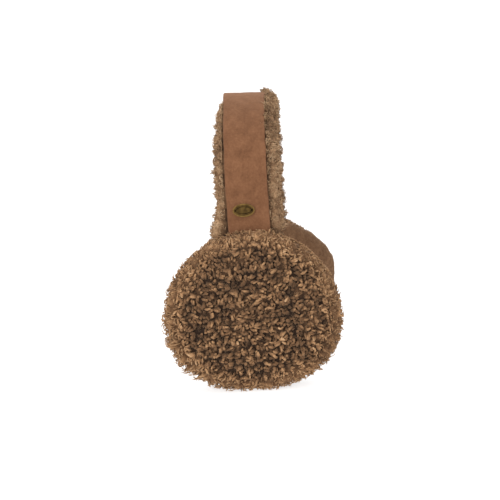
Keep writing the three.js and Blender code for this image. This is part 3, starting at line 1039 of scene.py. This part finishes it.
def even_strip(count, crowding=0.0):
    """Places spread over the wool strip, along the band and round its section, evenly or, with
    crowding, denser beside the suede."""
    turns = np.linspace(FIRST_TURN, LAST_TURN, 1200)
    y, lift = strip_section(turns)
    beside = 1 + crowding * np.clip(np.sin((turns[1:] + turns[:-1]) / 2) + 0.75, 0, 1)
    girth = np.concatenate([[0], np.cumsum(np.hypot(np.diff(y), np.diff(lift)) * beside)])
    golden = (math.sqrt(5) - 1) / 2
    turn = np.interp((np.arange(count) * golden % 1) * girth[-1], girth, turns)
    pad_top = PAD_HALF_HEIGHT - LEG_END_RISE - 11
    along = np.linspace(pad_top, BAND_LENGTH - pad_top, count) + rng.normal(0, 0.4, count)
    return along, turn


BAND_LOCKS = 9500
BAND_TUFTS = 560
BAND_FUZZ = 6000
# Over how long a stretch the strip thins towards its ends inside the pads
STRIP_END_LENGTH = 26
# Where tufts are brushed over the suede's edge, and how far up and down that goes
BRUSHED_SHOULDER = {"height": 167, "reach": 9}
BRUSHED_CROWN = {"height": 183, "reach": 4}


def band_tufts():
    """Middles, outward directions, heights and shades of the band's tufts."""
    along, turn = even_strip(BAND_TUFTS)
    along = along + rng.normal(0, 2.2, BAND_TUFTS)
    roots, normals = strip_places(along, turn + rng.normal(0, 0.16, BAND_TUFTS))
    return roots, normals, rng.uniform(0.7, 1.2, BAND_TUFTS), rng.random(BAND_TUFTS)


def wool_under_band(tuft_roots, tuft_height, tuft_shade):
    """The dense wool that the band's locks grow from: a sheet rolled to a flat tube that runs
    under the suede, is closed at both ends and swells where a tuft stands."""
    piece = sheet("band_wool_roots", x_steps=280, y_steps=64)
    points = get_points(piece.data)
    turn = points[:, 1] * 2 * math.pi
    y, lift = strip_section(turn)
    along = (points[:, 0] + 0.5) * BAND_LENGTH
    from_end = np.clip(np.minimum(along, BAND_LENGTH - along) / STRIP_END_LENGTH, 0, 1)
    keep = 0.55 + 0.45 * from_end**2 * (3 - 2 * from_end)
    y = side_reach(along, y * (0.8 + 0.2 * keep))
    lift = STRIP_TOP_LIFT + (np.minimum(lift, STRIP_TOP_LIFT) - STRIP_TOP_LIFT) * keep
    placed = on_arch(along, y, lift + crown_sag(along, y))
    # 1 where the wool is bare of the suede and 0 under it; it also paints the wool darker near the
    # suede's edges, as its shadow
    bare_and_unshaded = 1 - np.clip((np.sin(turn) - 0.55) / 0.3, 0, 1)
    tuft, inside = tufts_of(placed, tuft_roots)
    swelling = 1.9 * tuft_height[tuft] * (0.25 + 0.75 * inside**0.7) * from_end * bare_and_unshaded
    _, outward = strip_places(along, turn)
    set_points(piece.data, (placed + outward * swelling[:, None]) * MM)
    # Painted shade: darker in the partings between tufts, as dark roots and shade, and along and
    # under the suede's edges as the suede's shadow
    write_locks(piece.data, bare_and_unshaded.shape, 0.1 + 0.5 * inside * bare_and_unshaded, tuft_shade[tuft], bare_and_unshaded)
    with Editing():
        bpy.ops.mesh.remove_doubles(threshold=1e-5)
        bpy.ops.mesh.fill_holes(sides=0)
    turn_outward(piece)
    dress(piece, BAND_WOOL)
    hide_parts("headband_wool_strip")


def brushed_over_suede(tuft_roots, tuft_normals):
    """How much each tuft is brushed over the suede's edge, and the direction out of the arch."""
    away = unit(tuft_roots * [1, 0, 1] - [0, 0, PAD_MIDDLE + ARCH_WIDEST_RISE])
    on_top = np.clip(2 * np.sum(tuft_normals * away, axis=1), 0, 1) * (tuft_roots[:, 1] > 0)
    shoulder, crown = (
        np.exp(-(((tuft_roots[:, 2] - place["height"]) / place["reach"]) ** 2))
        for place in (BRUSHED_SHOULDER, BRUSHED_CROWN)
    )
    return (shoulder * (tuft_roots[:, 0] > 0) + crown) * on_top, away


def band_wool(tuft_roots, tuft_normals, tuft_height, tuft_shade):
    """Soft brushed wool in small pointed tufts, longest beside the suede."""
    along, turn = even_strip(BAND_LOCKS, crowding=1.6)
    roots, normals = strip_places(along, turn)
    tuft, inside = tufts_of(roots, tuft_roots)
    beside = np.abs(np.cos(turn)) ** 0.5
    full = rng.uniform(2.8, 3.8, BAND_LOCKS) * (0.8 + 0.3 * beside)
    full *= 1 - 0.25 * np.clip(np.sin(turn), 0, 1)
    full *= 1 - 0.12 * np.clip(-np.cos(turn), 0, 1)
    one_sided = np.clip(np.sin(turn) + 0.3, 0, 1) * np.sign(np.cos(turn))
    full *= 1 + 0.35 * near_crown(along, 26) * one_sided
    height = full * tuft_height[tuft] * (0.72 + 0.3 * inside)
    lean = unit(normals + rng.normal(0, 0.22, (BAND_LOCKS, 3)))
    tips = tuft_roots[tuft] + tuft_normals[tuft] * (height * 1.05)[:, None]
    tips += rng.normal(0, 0.8, (BAND_LOCKS, 3))
    over_edge, away = (values[tuft] for values in brushed_over_suede(tuft_roots, tuft_normals))
    tips += over_edge[:, None] * (away * 1.2 - [0, 4.4, 0])
    tips += over_edge[:, None] * rng.normal(0, 1.0, (BAND_LOCKS, 3))
    pull = np.maximum(rng.uniform(0.25, 0.65, BAND_LOCKS), 0.9 * over_edge)
    hook = rng.uniform(0.8, 2.4, BAND_LOCKS)
    spin = rng.uniform(0, 2 * math.pi, BAND_LOCKS)
    lines = lock_lines(roots, lean, spin, height, hook, tips, pull, 0.6, rings=4)
    side = np.sign(roots[:, 1])[:, None]
    held_off = ((np.sin(turn) > 0) & (over_edge < 0.15))[:, None]
    outside = side * np.maximum(side * lines[..., 1], SUEDE_WIDTH / 2 + 0.5)
    lines[..., 1] = np.where(held_off, outside, lines[..., 1])
    shade = 0.5 * rng.random(BAND_LOCKS) + 0.5 * tuft_shade[tuft]
    soft = np.ones(BAND_LOCKS)
    thickness = rng.uniform(0.4, 0.8, BAND_LOCKS)
    locks("band_locks", lines, roots, normals, full, thickness, 3, shade, soft, BAND_WOOL)
    chance, length, width = 0.3 + beside**2, (0.9, 2.0), (0.16, 0.28)
    fuzz("band_fuzz", lines, normals, chance, BAND_FUZZ, 0.5, length, width, soft, BAND_WOOL)


suede_strip()
TUFT_ROOTS, TUFT_NORMALS, TUFT_HEIGHT, TUFT_SHADE = band_tufts()
wool_under_band(TUFT_ROOTS, TUFT_HEIGHT, TUFT_SHADE)
band_wool(TUFT_ROOTS, TUFT_NORMALS, TUFT_HEIGHT, TUFT_SHADE)


# ---- the badge


def select_faces(mesh, wanted):
    for part in (mesh.vertices, mesh.edges, mesh.polygons):
        part.foreach_set("select", [False] * len(part))
    for face in mesh.polygons:
        face.select = wanted(face)


# From the badge's edge inward: the rim, the slope down to the field, the field, and a sunk ring
BADGE_STEPS = [
    {"width": 0.75, "sink": 0.0},
    {"width": 0.18, "sink": -0.42},
    {"width": 0.75, "sink": 0.0},
    {"width": 0.1, "sink": -0.18},
    {"width": 0.2, "sink": 0.0},
    {"width": 0.1, "sink": 0.18},
]
HOLE_AT = 4.95
HOLE_RADIUS = 0.62
HOLE_FLOOR = 0.3
CUTTER_LENGTH = 6.0
RIM, FIELD, RECESS = range(3)


def cylinder(vertices, radius, depth, place=(0, 0, 0)):
    bpy.ops.mesh.primitive_cylinder_add(
        vertices=vertices, radius=radius, depth=depth, end_fill_type="NGON", location=place
    )
    return bpy.context.object


def badge():
    """An oval plate with a rounded, raised rim, a sunk field, two holes and a sunk ring."""
    plate = cylinder(vertices=72, radius=0.5, depth=1.0)
    plate.name = "badge"
    points = get_points(plate.data) * [BADGE_LENGTH, BADGE_HEIGHT, BADGE_THICKNESS]
    points[:, 2] += BADGE_THICKNESS / 2
    set_points(plate.data, points)

    def front(face):
        facing = face.normal.z > 0.9 and face.center.z > BADGE_THICKNESS * 0.5
        return facing and len(face.vertices) > 20

    for step in BADGE_STEPS:
        select_faces(plate.data, front)
        with Editing(select_all=False):
            bpy.ops.mesh.inset(thickness=step["width"], depth=step["sink"])
    for end in (-1, 1):
        place = (end * HOLE_AT, 0.0, HOLE_FLOOR + CUTTER_LENGTH / 2)
        cutter = cylinder(28, HOLE_RADIUS, CUTTER_LENGTH, place)
        apply_modifier(plate, "BOOLEAN", operation="DIFFERENCE", solver="EXACT", object=cutter)
        bpy.data.objects.remove(cutter)
    apply_modifier(plate, "BEVEL", width=0.16, segments=3, angle_limit=math.radians(35))
    return plate


def badge_level(face):
    """Which of the badge's finishes a face has."""
    x, y, z = face.center
    in_hole = math.hypot(abs(x) - HOLE_AT, y) < HOLE_RADIUS and z < BADGE_THICKNESS - 0.45
    if in_hole or (z < BADGE_THICKNESS - 0.5 and face.normal.z > 0.3):
        return RECESS
    return RIM if z > BADGE_THICKNESS - 0.2 else FIELD


def place_badge():
    plate = badge()
    levels = [badge_level(face) for face in plate.data.polygons]
    points = get_points(plate.data)
    along = np.interp(PAD_MIDDLE + BADGE_RISE, LEG[:, 1], ARCH_ALONG[:LEG_STEPS])
    out = arch_outward(along)
    base = on_arch(along, BADGE_OFFSET, SUEDE_CROWN + 0.1)
    across = np.array([0.0, 1.0, 0.0])
    up = np.cross(out, across)
    placed = base + points[:, 0:1] * across + points[:, 1:2] * up + points[:, 2:3] * out
    set_points(plate.data, placed * MM)
    dress(plate, BRASS_RIM)
    for material in (BRASS_FIELD, BRASS_RECESS):
        plate.data.materials.append(material)
    plate.data.polygons.foreach_set("material_index", levels)
    bpy.ops.object.shade_smooth_by_angle(angle=math.radians(40))
    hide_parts("badge_plate")


place_badge()


# ---- floor, light and camera, in metres

FLOOR_RADIUS = 2.4
FLOOR_CURVE = 1.2
FLOOR_STEPS = 10


def sweep():
    """A white floor that curves up all round, far outside the camera's reach."""
    bpy.ops.mesh.primitive_circle_add(
        vertices=96, radius=FLOOR_RADIUS, fill_type="NGON", enter_editmode=True
    )
    turns = [step / FLOOR_STEPS * math.pi / 2 for step in range(FLOOR_STEPS + 1)]
    for before, turn in zip(turns, turns[1:]):
        wide, narrow = (FLOOR_RADIUS + FLOOR_CURVE * math.sin(at) for at in (turn, before))
        rise = FLOOR_CURVE * (math.cos(before) - math.cos(turn))
        bpy.ops.mesh.extrude_region_move(TRANSFORM_OT_translate={"value": (0, 0, rise)})
        bpy.ops.transform.resize(value=(wide / narrow, wide / narrow, 1))
    bpy.ops.object.mode_set(mode="OBJECT")
    floor = bpy.context.object
    floor.name = "floor"
    select_faces(floor.data, lambda face: len(face.vertices) > 4 and face.center.z > 0.01)
    with Editing(select_all=False):
        bpy.ops.mesh.delete(type="ONLY_FACE")
    floor.data.materials.append(FLOOR)


LIGHTS = {
    "key": {"place": (1.5, -0.6, 0.5), "aim": (0, 0, 0.08), "size": 0.8, "power": 9},
    "top": {"place": (0.1, 0.2, 1.3), "aim": (0, 0, 0.1), "size": 0.9, "power": 3},
    "fill": {"place": (1.2, 1.0, 0.3), "aim": (0, 0, 0.08), "size": 0.9, "power": 2},
}
ROOM_STRENGTH = 1.06


def soft_light(name, place, aim, size, power):
    data = bpy.data.lights.new(name, "AREA")
    data.shape = "DISK"
    data.size = size
    data.energy = power
    lamp = add_object(name, data)
    lamp.location = place
    lamp.rotation_euler = (Vector(aim) - Vector(place)).to_track_quat("-Z", "Y").to_euler()


CAMERA_AZIMUTH = 93.3
CAMERA_ELEVATION = 5.28
CAMERA_ROLL = 3.72
CAMERA_DISTANCE = 0.6403
CAMERA_AIM = (0.0, -0.0041, 0.0787)
CAMERA_LENS = 67.2


def photograph_camera():
    data = bpy.data.cameras.new("camera")
    data.lens = CAMERA_LENS
    data.sensor_width = 36
    camera = add_object("camera", data)
    azimuth, elevation = math.radians(CAMERA_AZIMUTH), math.radians(CAMERA_ELEVATION)
    level = math.cos(elevation)
    back = Vector((math.sin(azimuth) * level, -math.cos(azimuth) * level, math.sin(elevation)))
    right = Vector((0, 0, 1)).cross(back).normalized()
    up = back.cross(right)
    roll = math.radians(CAMERA_ROLL)
    rolled_right = right * math.cos(roll) - up * math.sin(roll)
    rolled_up = up * math.cos(roll) + right * math.sin(roll)
    turned = Matrix((rolled_right, rolled_up, back)).transposed().to_4x4()
    turned.translation = Vector(CAMERA_AIM) + back * CAMERA_DISTANCE
    camera.matrix_world = turned
    bpy.context.scene.camera = camera


def studio():
    sweep()
    world = bpy.data.worlds.new("white_room")
    world.use_nodes = True
    background = world.node_tree.nodes["Background"].inputs
    background["Color"].default_value = (1, 1, 1, 1)
    background["Strength"].default_value = ROOM_STRENGTH
    scene = bpy.context.scene
    scene.world = world
    for name, light in LIGHTS.items():
        soft_light(name, **light)
    scene.view_settings.view_transform = "Standard"
    scene.view_settings.look = "None"


studio()
photograph_camera()
